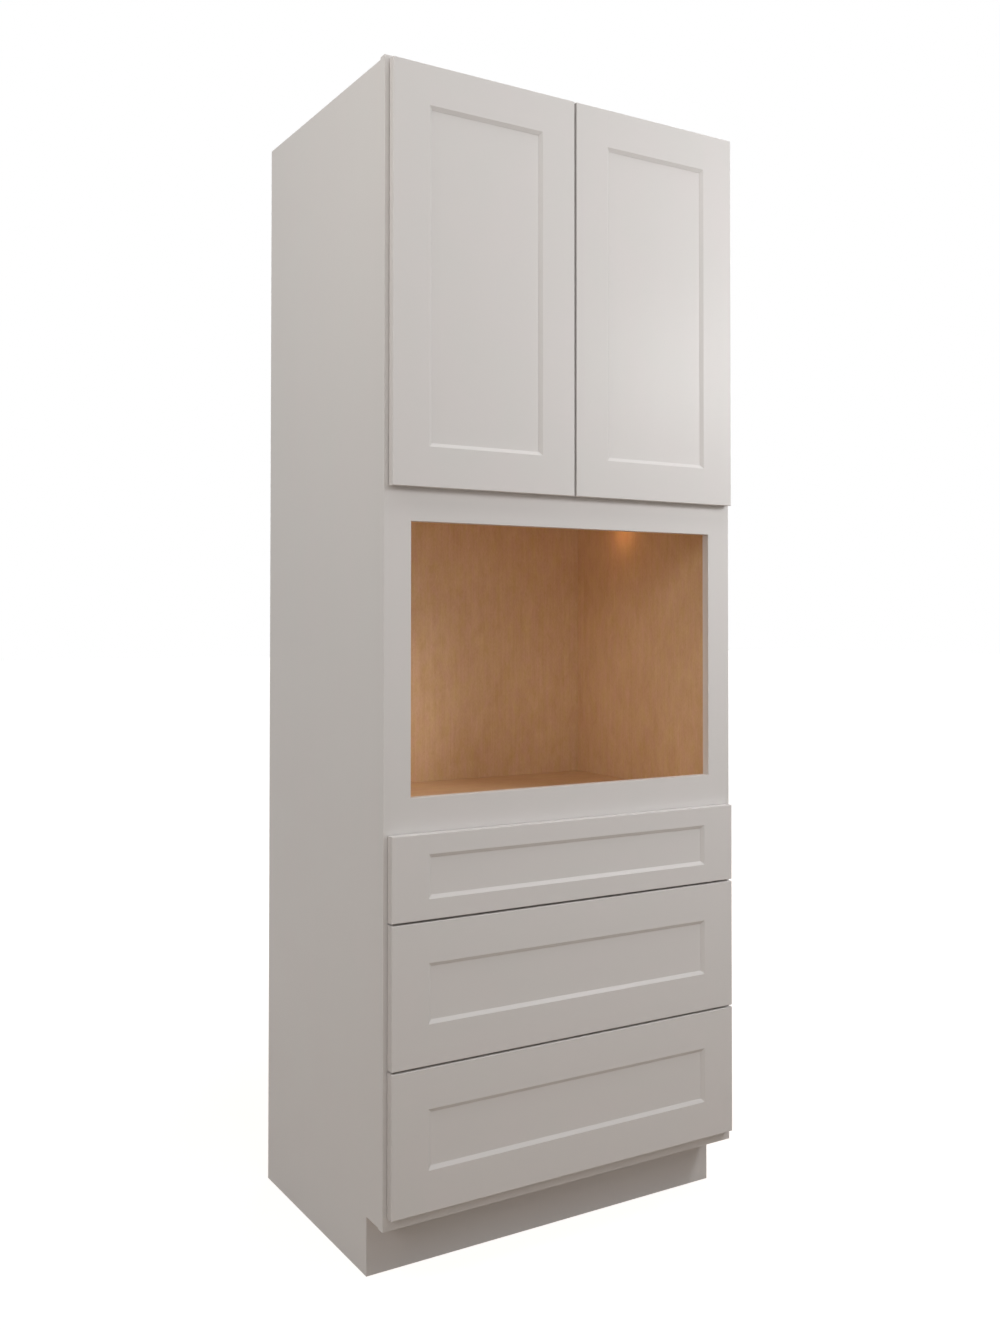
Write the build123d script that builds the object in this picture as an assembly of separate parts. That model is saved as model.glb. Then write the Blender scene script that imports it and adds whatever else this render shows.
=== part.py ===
from build123d import *
import os

# Tall oven cabinet: a plywood box behind a solid wood face frame, two doors over an
# open oven space and three drawers on undermount runners. Millimetres, +X to the
# right seen from the front, +Y to the wall, +Z up, origin at the centre of the
# footprint on the floor.

# Cabinet box
cabinet_width = 838.2
cabinet_height = 2297.0
carcass_depth = 561.5
side_thickness = 12.7
deck_thickness = 12.7
dado_depth = 5.0
frame_overhang = 2.5
top_setback = 2.0
back_thickness = 6.35
back_groove_depth = 6.0
groove_end_clearance = 0.5
floor_clearance = 2.0
hanging_rail_thickness = 18.0
hanging_rail_height = 90.0
toe_height = 112.0
toe_recess = 73.5
toe_board_thickness = 12.7

# Face frame
frame_thickness = 18.0
frame_edge_ease = 0.8
stile_width = 57.15
top_rail_height = 38.1
drawer_rail_height = 38.1
bottom_rail_height = 57.15
oven_opening_height = 520.0
oven_rail_below_opening = 66.3
oven_rail_above_opening = 63.5
front_overlay = 31.75

# Doors and drawer fronts
front_thickness = 18.0
front_gap = 1.5
side_reveal = 8.7
top_reveal = 8.5
bottom_reveal = 25.2
meeting_gap = 5.2
drawer_front_heights = [267.0, 267.0, 160.0]
drawer_front_gap = 4.35
member_face = 76.5
narrow_rail_face = 38.0
bevel_width = 7.2
bevel_depth = 4.8
bevel_lip = 0.5
panel_thickness = 6.35
panel_groove_depth = 8.0
panel_clearance = 1.0
edge_ease = 1.2

# Oven space and cupboard fittings
oven_deck_drop = 48.2
cleat_height = 38.0
cleat_thickness = 18.0
deck_clearance = 0.4
shelf_thickness = 18.0
shelf_clearance = 1.5
shelf_rise = 368.0
shelf_setback = 20.0
pin_hole_radius = 2.5
pin_hole_depth = 9.0
pin_hole_pitch = 32.0
pin_hole_count = 7
pin_row_inset = 60.0
shelf_pin_reach = 8.0
pin_collar_radius = 3.6
pin_collar_thickness = 1.0
wall_screw_hole_radius = 2.75
wall_screw_spacing = 406.4

# Door hinges, one pin each in a round cup, hidden behind the closed door
hinge_pin_inset = 6.5
hinge_pin_forward = 9.8
hinge_pin_radius = 1.5
hinge_bore_clearance = 0.05
hinge_end_distance = 90.0
hinge_eye_radius = 3.2
hinge_arm_thickness = 3.0
hinge_arm_height = 14.0
hinge_bend_radius = 4.0
hinge_plate_height = 42.0
hinge_plate_depth = 16.0
hinge_screw_radius = 2.0
hinge_screw_spacing = 28.0
cup_radius = 17.5
cup_edge_distance = 4.4
cup_depth = 12.6
cup_wall = 0.8
cup_slot_clearance = 0.9
cup_slot_corner = 1.8
cup_outer_clearance = 0.4
cup_inner_clearance = 1.5
cup_ear_length = 62.0
cup_ear_width = 15.0
cup_ear_thickness = 1.0
cup_screw_spacing = 48.0
cup_screw_radius = 2.2
pin_seat = 2.0
hinge_edge_radius = 3.0
bumper_radius = 5.0
bumper_rounding = 0.8
bumper_inset = 22.0

# Drawer boxes
box_wood = 16.0
box_rear_clearance = 23.25
box_side_clearance = 4.75
box_lift = 14.3
box_headroom = 14.0
bottom_board = 6.35
bottom_board_rise = 12.7
bottom_groove_depth = 6.0
dovetail_pitch = 34.0
dovetail_slope = 6.0
dovetail_gap = 7.0
box_top_rounding = 3.0

# Undermount runners, three members nested one in another
runner_steel = 1.5
runner_gap = 0.4
cabinet_member_width = 20.4
cabinet_member_height = 23.2
cabinet_flange_width = 31.0
middle_member_drop = 19.1
drawer_member_drop = 14.0
runner_front_setback = 16.0
runner_side_setback = 17.5
bracket_height = 45.0
bracket_tongue = 18.0
hook_width = 8.0
hook_radius = 2.5
hook_reach = 8.0
hook_rise = 9.0
hook_clearance = 0.3

# Planes and edges worked out from the sizes above
overall_depth = front_gap + front_thickness + frame_thickness + carcass_depth
rear_y = overall_depth / 2
carcass_y = rear_y - carcass_depth
face_y = carcass_y - frame_thickness
front_back_y = face_y - front_gap
front_y = front_back_y - front_thickness
half_width = cabinet_width / 2
side_outer = half_width - frame_overhang
side_inner = side_outer - side_thickness
opening_half = half_width - stile_width
side_top = cabinet_height - top_setback
back_y = rear_y - hanging_rail_thickness - back_thickness
toe_y = face_y + toe_recess

member_width = member_face + bevel_width
recess_depth = bevel_depth + bevel_lip
front_half = half_width - side_reveal
door_width = front_half - meeting_gap / 2

drawer_names = ["bottom", "middle", "top"]
drawer_bottoms = []
for index in range(len(drawer_front_heights)):
    below = sum(drawer_front_heights[:index]) + index * drawer_front_gap
    drawer_bottoms.append(toe_height + bottom_reveal + below)
drawers_top = drawer_bottoms[-1] + drawer_front_heights[-1]

oven_opening_bottom = drawers_top + oven_rail_below_opening
oven_opening_top = oven_opening_bottom + oven_opening_height
door_bottom = oven_opening_top + oven_rail_above_opening
door_height = cabinet_height - top_reveal - door_bottom
oven_deck_top = oven_opening_bottom - oven_deck_drop
upper_deck_top = door_bottom + front_overlay
bottom_panel_top = toe_height + bottom_rail_height

# Each drawer opening runs from the top of the rail below it to the rail above it
opening_floors = [bottom_panel_top]
opening_tops = []
for lower_edge in drawer_bottoms[1:]:
    rail_middle = lower_edge - drawer_front_gap / 2
    opening_tops.append(rail_middle - drawer_rail_height / 2)
    opening_floors.append(rail_middle + drawer_rail_height / 2)
opening_tops.append(drawers_top - front_overlay)

pin_x = front_half - hinge_pin_inset
pin_y = face_y - hinge_pin_forward
cup_x = front_half - cup_edge_distance - cup_radius
cup_slot_half = hinge_arm_height / 2 + cup_slot_clearance + cup_wall
hinge_heights = [
    door_bottom + hinge_end_distance,
    door_bottom + door_height - hinge_end_distance,
]

box_outer = opening_half - box_side_clearance
box_front_y = front_back_y
box_rear_y = back_y - box_rear_clearance
middle_member_width = cabinet_member_width + 2 * (runner_gap + runner_steel)
drawer_member_width = middle_member_width + 2 * (runner_gap + runner_steel)
runner_x = box_outer - runner_side_setback - drawer_member_width / 2


def board(x, y, z):
    size = Box(abs(x[1] - x[0]), abs(y[1] - y[0]), abs(z[1] - z[0]))
    return Pos((x[0] + x[1]) / 2, (y[0] + y[1]) / 2, (z[0] + z[1]) / 2) * size


def rod(radius, start, end):
    axis = Vector(*end) - Vector(*start)
    plane = Plane(origin=start, z_dir=axis)
    return extrude(plane * Circle(radius), axis.length)


def opposite(shape):
    return mirror(shape, Plane.YZ)


def write(node, *solids):
    loose = [solid for shape in solids for solid in shape.solids()]
    export_step(Compound(children=loose, label=node), f"parts/{node}.step")


def shelf_pin_places():
    shelf_underside = upper_deck_top + shelf_rise
    for row_y in (carcass_y + pin_row_inset, back_y - pin_row_inset):
        for step in range(pin_hole_count):
            offset = (step - pin_hole_count // 2) * pin_hole_pitch
            yield row_y, shelf_underside + offset - pin_hole_radius, offset == 0


def side_panel():
    panel = board((side_inner, side_outer), (carcass_y, rear_y), (0, side_top))
    toe_back = toe_y + toe_board_thickness
    panel -= board((side_inner, side_outer), (carcass_y, toe_back), (0, toe_height))
    dado = (side_inner, side_inner + dado_depth)
    for deck_top in (bottom_panel_top, upper_deck_top, side_top):
        panel -= board(dado, (carcass_y, back_y), (deck_top - deck_thickness, deck_top))
    groove = (side_inner, side_inner + back_groove_depth)
    panel -= board(groove, (back_y, back_y + back_thickness), (0, side_top))
    for hole_y, hole_z, used in shelf_pin_places():
        hole_end = (side_inner + pin_hole_depth, hole_y, hole_z)
        panel -= rod(pin_hole_radius, (side_inner, hole_y, hole_z), hole_end)
    return panel


def dadoed_deck(top):
    reach = side_inner + dado_depth
    return board((-reach, reach), (carcass_y, back_y), (top - deck_thickness, top))


def oven_deck():
    reach = side_inner - deck_clearance
    span = (carcass_y + deck_clearance, back_y - deck_clearance)
    return board((-reach, reach), span, (oven_deck_top - deck_thickness, oven_deck_top))


def deck_cleat():
    top = oven_deck_top - deck_thickness
    inner = side_inner - cleat_thickness
    return board((inner, side_inner), (carcass_y, back_y), (top - cleat_height, top))


def hanging_rail_bottoms():
    top = side_top - hanging_rail_height
    middle = oven_deck_top - hanging_rail_height
    return [top, middle, floor_clearance]


def wall_screw_holes(first_y, last_y):
    holes = Part()
    for rail_bottom in hanging_rail_bottoms()[:2]:
        hole_z = rail_bottom + hanging_rail_height / 2
        for hole_x in (-wall_screw_spacing / 2, wall_screw_spacing / 2):
            start = (hole_x, first_y, hole_z)
            holes += rod(wall_screw_hole_radius, start, (hole_x, last_y, hole_z))
    return holes


def back_panel():
    reach = side_inner + back_groove_depth - groove_end_clearance
    depth = (back_y, back_y + back_thickness)
    return board((-reach, reach), depth, (floor_clearance, side_top)) - wall_screw_holes(*depth)


def hanging_rails():
    depth = (back_y + back_thickness, rear_y)
    rails = Part()
    for rail_bottom in hanging_rail_bottoms():
        height = (rail_bottom, rail_bottom + hanging_rail_height)
        rails += board((-side_inner, side_inner), depth, height)
    return rails - wall_screw_holes(*depth)


def toe_board():
    depth = (toe_y, toe_y + toe_board_thickness)
    return board((-side_outer, side_outer), depth, (0, toe_height))


def eased_frame():
    # The whole face frame in one, its front edges eased outside and round each opening
    frame = board((-half_width, half_width), (face_y, carcass_y), (toe_height, cabinet_height))
    floors = opening_floors + [oven_opening_bottom, upper_deck_top]
    tops = opening_tops + [oven_opening_top, cabinet_height - top_rail_height]
    for opening in zip(floors, tops):
        frame -= board((-opening_half, opening_half), (face_y, carcass_y), opening)
    return fillet(frame.edges().group_by(Axis.Y)[0], frame_edge_ease)


def frame_stile(frame):
    width = (opening_half, half_width)
    return frame & board(width, (face_y, carcass_y), (toe_height, cabinet_height))


def frame_rail(frame, bottom, top):
    return frame & board((-opening_half, opening_half), (face_y, carcass_y), (bottom, top))


def adjustable_shelf():
    reach = side_inner - shelf_clearance
    bottom = upper_deck_top + shelf_rise
    depth = (carcass_y + shelf_setback, back_y - shelf_clearance)
    return board((-reach, reach), depth, (bottom, bottom + shelf_thickness))


def shelf_pins():
    pins = Part()
    for row_y, pin_z, used in shelf_pin_places():
        if used:
            wall = (side_inner, row_y, pin_z)
            start = (side_inner - shelf_pin_reach, row_y, pin_z)
            pin = rod(pin_hole_radius, start, (side_inner + pin_hole_depth, row_y, pin_z))
            collar_start = (side_inner - pin_collar_thickness, row_y, pin_z)
            pin += rod(pin_collar_radius, collar_start, wall)
            pins += [pin, opposite(pin)]
    return pins


def stile_bar(face, length):
    width = face + bevel_width
    groove_x = width - panel_groove_depth
    outline = Polyline(
        (0, 0),
        (face, 0),
        (width, bevel_depth),
        (width, recess_depth),
        (groove_x, recess_depth),
        (groove_x, recess_depth + panel_thickness),
        (width, recess_depth + panel_thickness),
        (width, front_thickness),
        (0, front_thickness),
        close=True,
    )
    return extrude(make_face(outline), length)


def framed_front(width, height, rail_face, hinge_edge=None):
    # Front face on y = 0 looking along +Y, lower left corner at the origin
    blank = board((0, width), (0, front_thickness), (0, height))
    blank = fillet(blank.edges().group_by(Axis.Y)[0], edge_ease)
    if hinge_edge:
        upright = blank.edges().filter_by(Axis.Z).group_by(Axis.Y)[-1]
        blank = fillet(upright.sort_by(Axis.X)[-1:], hinge_edge)

    left_stile = stile_bar(member_face, height)
    right_stile = Pos(width, 0, 0) * opposite(left_stile)
    tongue_start = member_width - panel_groove_depth
    bar = stile_bar(rail_face, width - 2 * tongue_start)
    upright_to_level = Plane((tongue_start, 0, 0), x_dir=(0, 0, 1), z_dir=(1, 0, 0))
    bottom_rail = upright_to_level.location * mirror(bar, Plane.XZ)
    top_rail = Pos(0, 0, height) * mirror(bottom_rail, Plane.XY)
    bottom_rail = bottom_rail - left_stile - right_stile
    top_rail = top_rail - left_stile - right_stile

    panel_x = member_width - panel_groove_depth + panel_clearance
    panel_z = rail_face + bevel_width - panel_groove_depth + panel_clearance
    depth = (recess_depth, recess_depth + panel_thickness)
    panel = board((panel_x, width - panel_x), depth, (panel_z, height - panel_z))
    members = [left_stile, right_stile, bottom_rail, top_rail]
    return [member & blank for member in members] + [panel]


def hinge_arm(height):
    # Bent strip from the pin over the stile's face to its inner edge, plate and eye
    leg_x = opening_half - hinge_arm_thickness
    beam_y = pin_y - hinge_arm_thickness
    plate_back = face_y + hinge_plate_depth
    arm_z = (height - hinge_arm_height / 2, height + hinge_arm_height / 2)
    outline = Polyline(
        (opening_half, plate_back),
        (leg_x, plate_back),
        (leg_x, beam_y),
        (pin_x, beam_y),
        (pin_x, pin_y),
        (opening_half, pin_y),
        close=True,
    )
    strip = make_face(outline)
    outer_corner = strip.vertices().sort_by_distance((leg_x, beam_y, 0))[0]
    strip = fillet(outer_corner, hinge_bend_radius)
    inner_corner = strip.vertices().sort_by_distance((opening_half, pin_y, 0))[0]
    strip = fillet(inner_corner, hinge_bend_radius - hinge_arm_thickness)
    arm = Pos(0, 0, arm_z[0]) * extrude(strip, hinge_arm_height)

    plate_z = (height - hinge_plate_height / 2, height + hinge_plate_height / 2)
    plate = board((leg_x, opening_half), (face_y, plate_back), plate_z)
    arm += fillet(plate.edges().filter_by(Axis.X), hinge_arm_thickness)
    arm += rod(hinge_eye_radius, (pin_x, pin_y, arm_z[0]), (pin_x, pin_y, arm_z[1]))
    bore = hinge_pin_radius + hinge_bore_clearance
    arm -= rod(bore, (pin_x, pin_y, arm_z[0]), (pin_x, pin_y, arm_z[1]))
    for offset in (-hinge_screw_spacing / 2, hinge_screw_spacing / 2):
        hole_y = face_y + hinge_plate_depth / 2
        start = (leg_x, hole_y, height + offset)
        arm -= rod(hinge_screw_radius, start, (opening_half, hole_y, height + offset))
    return arm


def cup_outline(wall):
    # Round cup with a slot from the pin to the frame's opening, where the arm lies
    slot_inner = opening_half - hinge_arm_thickness - cup_inner_clearance - cup_wall + wall
    slot_outer = pin_x + hinge_eye_radius + cup_outer_clearance
    slot = Rectangle(slot_outer - slot_inner, 2 * (cup_slot_half - wall))
    slot = fillet(slot.vertices().group_by(Axis.X)[0], cup_slot_corner - wall)
    cup = Pos(cup_x, 0, 0) * Circle(cup_radius - wall)
    return Pos((slot_outer + slot_inner) / 2, 0, 0) * slot + cup


def on_door_back(sketch, height, thickness):
    back = Plane((0, front_back_y, height), x_dir=(1, 0, 0), z_dir=(0, -1, 0))
    return extrude(back * sketch, thickness)


def cup_pocket(height):
    return on_door_back(cup_outline(0), height, cup_depth)


def hinge_pin(height):
    reach = cup_slot_half + pin_seat
    return rod(hinge_pin_radius, (pin_x, pin_y, height - reach), (pin_x, pin_y, height + reach))


def hinge_cup(height):
    mouth = cup_outline(cup_wall)
    shell = cup_pocket(height) - on_door_back(mouth, height, cup_depth - cup_wall)
    ears = Pos(cup_x, 0, 0) * SlotOverall(cup_ear_length, cup_ear_width, rotation=90) - mouth
    for offset in (-cup_screw_spacing / 2, cup_screw_spacing / 2):
        ears -= Pos(cup_x, offset, 0) * Circle(cup_screw_radius)
    return shell + on_door_back(ears, height, -cup_ear_thickness) - hinge_pin(height)


def right_door():
    members = framed_front(door_width, door_height, member_face, hinge_edge=hinge_edge_radius)
    place = Pos(meeting_gap / 2, front_y, door_bottom)
    names = ["meeting_stile", "hinge_stile", "bottom_rail", "top_rail", "panel"]
    door = {name: place * member for name, member in zip(names, members)}
    door["hinge_pins"] = Part() + [hinge_pin(height) for height in hinge_heights]
    door["hinge_cups"] = Part() + [hinge_cup(height) for height in hinge_heights]
    for height in hinge_heights:
        door["hinge_stile"] -= cup_pocket(height)
    door["hinge_stile"] -= door["hinge_pins"]
    return door


def closing_bumpers():
    bumpers = Part()
    door_corner_x = meeting_gap / 2 + bumper_inset
    lift = front_overlay / 2
    places = [(door_corner_x, door_bottom + lift)]
    places.append((door_corner_x, cabinet_height - top_rail_height / 2))
    for lower, height in zip(drawer_bottoms, drawer_front_heights):
        places.append((opening_half + bumper_inset, lower + bumper_inset))
        places.append((opening_half + bumper_inset, lower + height - bumper_inset))
    for place_x, place_z in places:
        start = (place_x, front_back_y, place_z)
        bumper = rod(bumper_radius, start, (place_x, face_y, place_z))
        bumper = fillet(bumper.edges().group_by(Axis.Y)[0], bumper_rounding)
        bumpers += [bumper, opposite(bumper)]
    return bumpers


def dovetails(shoulder_y, end_y, bottom, top):
    # Tails of a right-hand drawer side, widening from the shoulder to the end
    count = max(1, round((top - bottom) / dovetail_pitch))
    pitch = (top - bottom) / count
    wide = (pitch - dovetail_gap) / 2
    narrow = wide - abs(end_y - shoulder_y) / dovetail_slope
    tails = Part()
    for index in range(count):
        middle = bottom + (index + 0.5) * pitch
        outline = Polyline(
            (shoulder_y, middle - narrow),
            (end_y, middle - wide),
            (end_y, middle + wide),
            (shoulder_y, middle + narrow),
            close=True,
        )
        tails += extrude(Plane.YZ * make_face(outline), box_wood)
    return Pos(box_outer - box_wood, 0, 0) * tails


def box_walls(bottom, top):
    # The four walls in one, with every top edge rounded over
    outer = board((-box_outer, box_outer), (box_front_y, box_rear_y), (bottom, top))
    inner_x = box_outer - box_wood
    inner_depth = (box_front_y + box_wood, box_rear_y - box_wood)
    walls = outer - board((-inner_x, inner_x), inner_depth, (bottom, top))
    return fillet(walls.edges().group_by(Axis.Z)[-1], box_top_rounding)


def rear_hook(floor, clearance, reach):
    # Peg of the runner that holds the back of the box
    height = floor + box_lift + bottom_board_rise + bottom_board + hook_rise
    start = (runner_x, box_rear_y - reach, height)
    return rod(hook_radius + clearance, start, (runner_x, box_rear_y, height))


def drawer_box(floor, ceiling):
    bottom = floor + box_lift
    top = ceiling - box_headroom
    groove_z = bottom + bottom_board_rise
    board_top = groove_z + bottom_board
    box_inner = box_outer - box_wood
    front_shoulder = box_front_y + box_wood
    rear_shoulder = box_rear_y - box_wood

    side = board((box_inner, box_outer), (front_shoulder, rear_shoulder), (bottom, top))
    side += board((box_inner, box_outer), (rear_shoulder, box_rear_y), (bottom, board_top))
    front_tails = dovetails(front_shoulder, box_front_y, bottom, top)
    rear_tails = dovetails(rear_shoulder, box_rear_y, board_top, top)
    side = side + front_tails + rear_tails
    groove = (box_inner, box_inner + bottom_groove_depth)
    groove_front = front_shoulder - bottom_groove_depth
    side -= board(groove, (groove_front, box_rear_y), (groove_z, board_top))

    front = board((-box_outer, box_outer), (box_front_y, front_shoulder), (bottom, top))
    front = front - front_tails - opposite(front_tails)
    groove_reach = box_inner + bottom_groove_depth
    front -= board(
        (-groove_reach, groove_reach), (groove_front, front_shoulder), (groove_z, board_top)
    )
    back = board((-box_outer, box_outer), (rear_shoulder, box_rear_y), (board_top, top))
    back = back - rear_tails - opposite(rear_tails)
    hook_hole = rear_hook(floor, hook_clearance, hook_reach + hook_clearance)
    back = back - hook_hole - opposite(hook_hole)

    walls = box_walls(bottom, top)
    side, front, back = side & walls, front & walls, back & walls
    reach = groove_reach - groove_end_clearance
    base_depth = (groove_front + groove_end_clearance, box_rear_y)
    base = board((-reach, reach), base_depth, (groove_z, board_top))
    return {"sides": [side, opposite(side)], "ends": [front, back], "bottom": base}


def across_runner(width):
    return (runner_x - width / 2, runner_x + width / 2)


def channel(width, top, bottom, first_y, last_y):
    # Inverted U section in runner steel
    outer = board(across_runner(width), (first_y, last_y), (bottom, top))
    inside = across_runner(width - 2 * runner_steel)
    return outer - board(inside, (first_y, last_y), (bottom, top - runner_steel))


def cabinet_member(floor):
    first_y = face_y + runner_front_setback
    last_y = back_y - runner_steel
    rail_top = floor + cabinet_member_height
    member = channel(cabinet_member_width, rail_top, floor, first_y, last_y)
    for foot in zip(across_runner(cabinet_member_width), across_runner(cabinet_flange_width)):
        member += board(foot, (face_y, last_y), (floor, floor + runner_steel))
    return member


def middle_member(floor):
    top = floor + cabinet_member_height + runner_gap + runner_steel
    first_y = face_y + runner_front_setback
    last_y = box_rear_y - runner_steel
    return channel(middle_member_width, top, top - middle_member_drop, first_y, last_y)


def drawer_member(floor):
    top = floor + box_lift + bottom_board_rise
    first_y = box_front_y + box_wood
    member = channel(drawer_member_width, top, top - drawer_member_drop, first_y, box_rear_y)
    hook = rear_hook(floor, 0, hook_reach)
    riser_depth = (box_rear_y, box_rear_y + runner_steel)
    riser = board(across_runner(hook_width), riser_depth, (top - runner_steel, hook.bounding_box().max.Z))
    return member + riser + hook


def rear_bracket(floor):
    # Plate against the back panel with a tongue inside the end of the cabinet member
    plate_depth = (back_y - runner_steel, back_y)
    plate = board(across_runner(cabinet_flange_width), plate_depth, (floor, floor + bracket_height))
    tongue_top = floor + cabinet_member_height - runner_steel
    tongue_depth = (back_y - bracket_tongue, back_y)
    inside = across_runner(cabinet_member_width - 2 * runner_steel)
    return plate + board(inside, tongue_depth, (tongue_top - runner_steel, tongue_top))


def write_carcass():
    side = side_panel()
    write("right_side_panel", side)
    write("left_side_panel", opposite(side))
    write("top_panel", dadoed_deck(side_top))
    write("upper_deck", dadoed_deck(upper_deck_top))
    write("bottom_panel", dadoed_deck(bottom_panel_top))
    write("oven_deck", oven_deck())
    write("oven_deck_cleats", deck_cleat(), opposite(deck_cleat()))
    write("back_panel", back_panel())
    write("hanging_rails", hanging_rails())
    write("toe_board", toe_board())
    write("adjustable_shelf", adjustable_shelf())
    write("shelf_pins", shelf_pins())


def write_face_frame():
    frame = eased_frame()
    write("right_frame_stile", frame_stile(frame))
    write("left_frame_stile", opposite(frame_stile(frame)))
    write("top_frame_rail", frame_rail(frame, cabinet_height - top_rail_height, cabinet_height))
    write("oven_top_rail", frame_rail(frame, oven_opening_top, upper_deck_top))
    write("oven_bottom_rail", frame_rail(frame, opening_tops[-1], oven_opening_bottom))
    rails = [frame_rail(frame, *ends) for ends in zip(opening_tops[:-1], opening_floors[1:])]
    write("drawer_frame_rails", *rails)
    write("bottom_frame_rail", frame_rail(frame, toe_height, bottom_panel_top))
    write("closing_bumpers", closing_bumpers())


def write_doors():
    arms = [hinge_arm(height) for height in hinge_heights]
    write("hinge_arms", *arms, *[opposite(arm) for arm in arms])
    for piece, shape in right_door().items():
        write(f"right_door_{piece}", shape)
        write(f"left_door_{piece}", opposite(shape))


def write_drawers():
    width = 2 * front_half
    for index, name in enumerate(drawer_names):
        height = drawer_front_heights[index]
        rail_face = narrow_rail_face if index == len(drawer_names) - 1 else member_face
        pieces = framed_front(width, height, rail_face)
        place = Pos(-front_half, front_y, drawer_bottoms[index])
        write(f"{name}_drawer_front_frame", *[place * piece for piece in pieces[:4]])
        write(f"{name}_drawer_front_panel", place * pieces[4])

        floor = opening_floors[index]
        box = drawer_box(floor, opening_tops[index])
        write(f"{name}_drawer_box_sides", *box["sides"])
        write(f"{name}_drawer_box_ends", *box["ends"])
        write(f"{name}_drawer_box_bottom", box["bottom"])
        lower, middle = drawer_member(floor), middle_member(floor)
        write(f"{name}_drawer_carrying_members", lower, opposite(lower))
        write(f"{name}_drawer_middle_members", middle, opposite(middle))


def write_runners():
    members = [cabinet_member(floor) for floor in opening_floors]
    brackets = [rear_bracket(floor) for floor in opening_floors]
    write("runner_cabinet_members", *members, *[opposite(member) for member in members])
    write("runner_rear_brackets", *brackets, *[opposite(bracket) for bracket in brackets])


os.makedirs("parts", exist_ok=True)
write_carcass()
write_face_frame()
write_doors()
write_drawers()
write_runners()
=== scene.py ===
import math

import bmesh
import bpy
from mathutils import Euler, Matrix, Vector


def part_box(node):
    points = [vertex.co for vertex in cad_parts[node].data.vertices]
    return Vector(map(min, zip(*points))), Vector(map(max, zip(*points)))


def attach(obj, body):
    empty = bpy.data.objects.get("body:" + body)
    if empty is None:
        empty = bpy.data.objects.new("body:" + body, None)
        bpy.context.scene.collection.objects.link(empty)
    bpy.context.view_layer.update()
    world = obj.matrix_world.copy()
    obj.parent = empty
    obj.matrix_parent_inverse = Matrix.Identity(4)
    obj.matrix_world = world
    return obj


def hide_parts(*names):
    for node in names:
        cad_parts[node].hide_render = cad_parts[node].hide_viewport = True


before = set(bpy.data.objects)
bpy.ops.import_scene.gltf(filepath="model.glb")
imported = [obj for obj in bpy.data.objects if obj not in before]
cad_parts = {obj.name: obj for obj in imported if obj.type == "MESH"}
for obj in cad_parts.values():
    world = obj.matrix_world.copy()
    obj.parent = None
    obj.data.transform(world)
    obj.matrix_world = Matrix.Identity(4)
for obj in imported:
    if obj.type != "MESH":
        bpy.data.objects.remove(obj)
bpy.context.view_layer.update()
print("frame loaded,", len(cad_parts), "nodes")


# Colours are written as sRGB hex and turned to linear here
def linear(hexText):
    channels = [int(hexText[i:i + 2], 16) / 255 for i in (1, 3, 5)]
    return (*[c / 12.92 if c <= 0.04045 else ((c + 0.055) / 1.055) ** 2.4 for c in channels], 1.0)


def addNode(tree, kind, inputs=(), stops=(), **settings):
    node = tree.nodes.new(kind)
    for name, value in settings.items():
        setattr(node, name, value)
    for name, value in dict(inputs).items():
        if isinstance(value, bpy.types.NodeSocket):
            tree.links.new(value, node.inputs[name])
        else:
            node.inputs[name].default_value = value
    for index, (position, colour) in enumerate(stops):
        elements = node.color_ramp.elements
        stop = elements[index] if index < len(elements) else elements.new(position)
        stop.position = position
        stop.color = linear(colour)
    return node


def newFinish(name):
    finish = bpy.data.materials.new(name)
    finish.use_nodes = True
    return finish, finish.node_tree, finish.node_tree.nodes["Principled BSDF"]


timber = {
    "boardSpread": 60.0,  # how far apart in the log two boards may come from
    "fineness": 0.55,
    "turnedShare": 0.7,  # how squarely a face looks along an axis before it counts as turned to it
}


# Figure for wood and for every other finish: streaks so wide across the grain and so long
# along it, in millimetres, cut from another part of the log for each piece
def grainFigure(tree, grain, width, length, detail=3.0, distortion=0.0, log=0.0):
    scale = [1000 / width] * 3
    scale["XYZ".index(grain)] = 1000 / length
    place = addNode(tree, "ShaderNodeTexCoord").outputs["Object"]
    stretched = addNode(tree, "ShaderNodeMapping", {"Vector": place, "Scale": scale})
    board = addNode(tree, "ShaderNodeMath", {0: addNode(tree, "ShaderNodeObjectInfo").outputs["Random"],
                                             1: timber["boardSpread"], 2: log},
                    operation="MULTIPLY_ADD")
    figure = addNode(tree, "ShaderNodeTexNoise", {"Vector": stretched.outputs[0], "Scale": 1.0,
                                                  "W": board.outputs[0], "Detail": detail,
                                                  "Roughness": timber["fineness"],
                                                  "Distortion": distortion},
                     noise_dimensions="4D")
    return figure.outputs["Fac"]


# 1 on the faces that are turned to an axis of the piece, 0 on the others
def facesTurnedTo(tree, axis):
    normal = addNode(tree, "ShaderNodeTexCoord").outputs["Normal"]
    part = addNode(tree, "ShaderNodeSeparateXYZ", {0: normal}).outputs[axis]
    size = addNode(tree, "ShaderNodeMath", {0: part}, operation="ABSOLUTE").outputs[0]
    return addNode(tree, "ShaderNodeMath", {0: size, 1: timber["turnedShare"]},
                   operation="GREATER_THAN").outputs[0]


# 1 where a piece is further out along an axis than a plane, on either side of the middle
def beyondPlane(tree, axis, plane):
    place = addNode(tree, "ShaderNodeTexCoord").outputs["Object"]
    part = addNode(tree, "ShaderNodeSeparateXYZ", {0: place}).outputs[axis]
    size = addNode(tree, "ShaderNodeMath", {0: part}, operation="ABSOLUTE").outputs[0]
    return addNode(tree, "ShaderNodeMath", {0: size, 1: plane}, operation="GREATER_THAN").outputs[0]


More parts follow.
